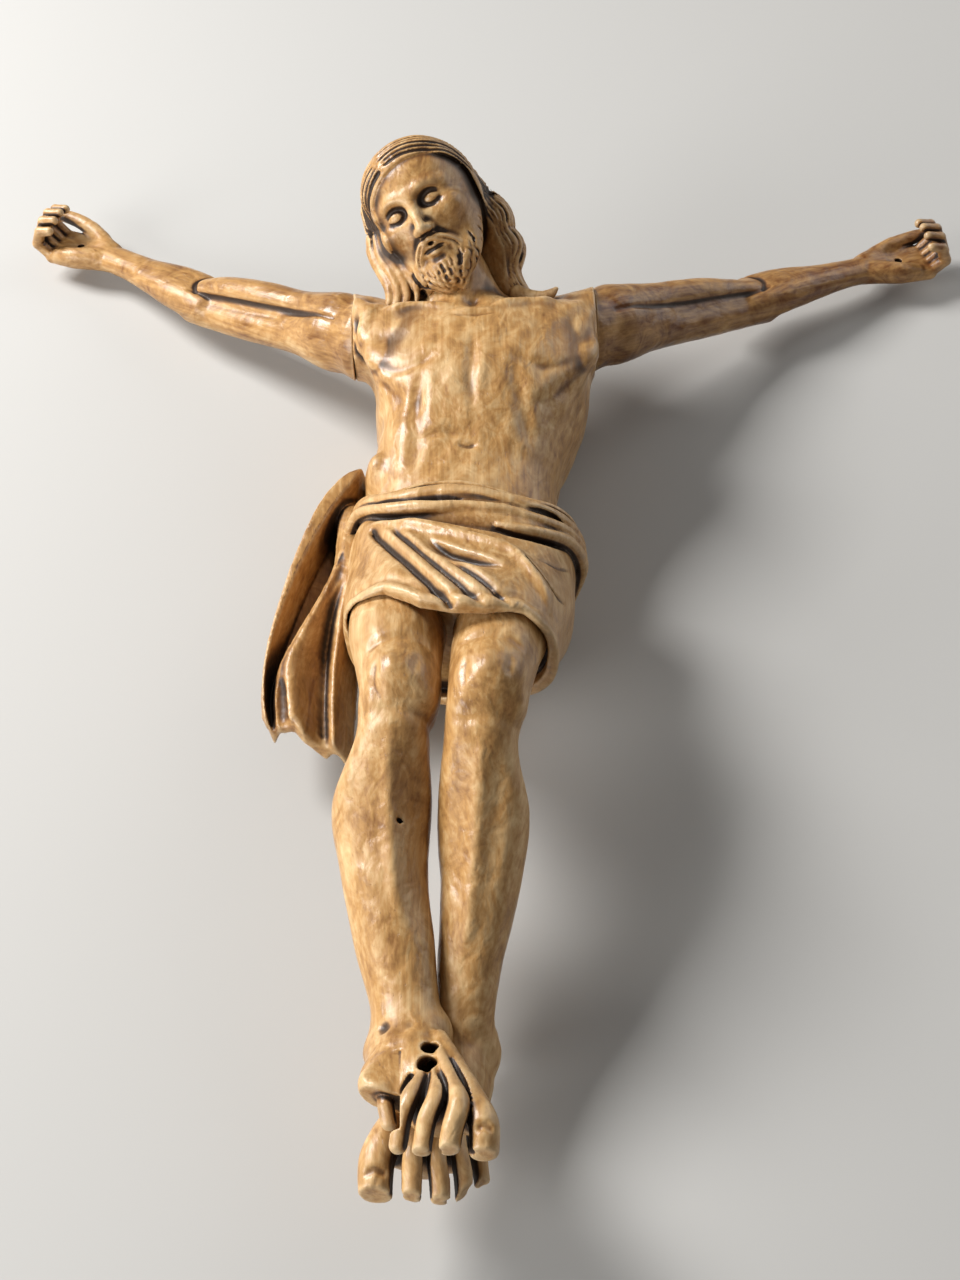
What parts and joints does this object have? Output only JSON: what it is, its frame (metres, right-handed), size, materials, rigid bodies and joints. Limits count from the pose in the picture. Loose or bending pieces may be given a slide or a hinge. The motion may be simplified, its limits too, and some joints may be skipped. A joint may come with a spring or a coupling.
{
  "type": "crucifix figure",
  "caption": "Carved wooden crucifix figure with outstretched pegged arms, tilted head, draped loincloth and crossed feet, to be nailed flat on a cross.",
  "frame": {"origin": "centre of the flat seat on the figure's back, behind the hips, where it bears on a cross", "axes": "+X to the figure's left, +Y towards its head, +Z out of its chest; it lies on its back"},
  "size_m": [0.3791, 0.4522, 0.0987],
  "materials": {
    "carved_wood": "waxed satin, darker in the recesses",
    "dowel_wood": "plain turned wood"
  },
  "bodies": {
    "root": {"figure": "carved_wood", "right_arm": "carved_wood", "left_arm": "carved_wood", "loincloth_end": "carved_wood", "right_shoulder_dowel": "dowel_wood", "left_shoulder_dowel": "dowel_wood", "upper_hip_peg": "dowel_wood", "lower_hip_peg": "dowel_wood"}
  },
  "joints": []
}
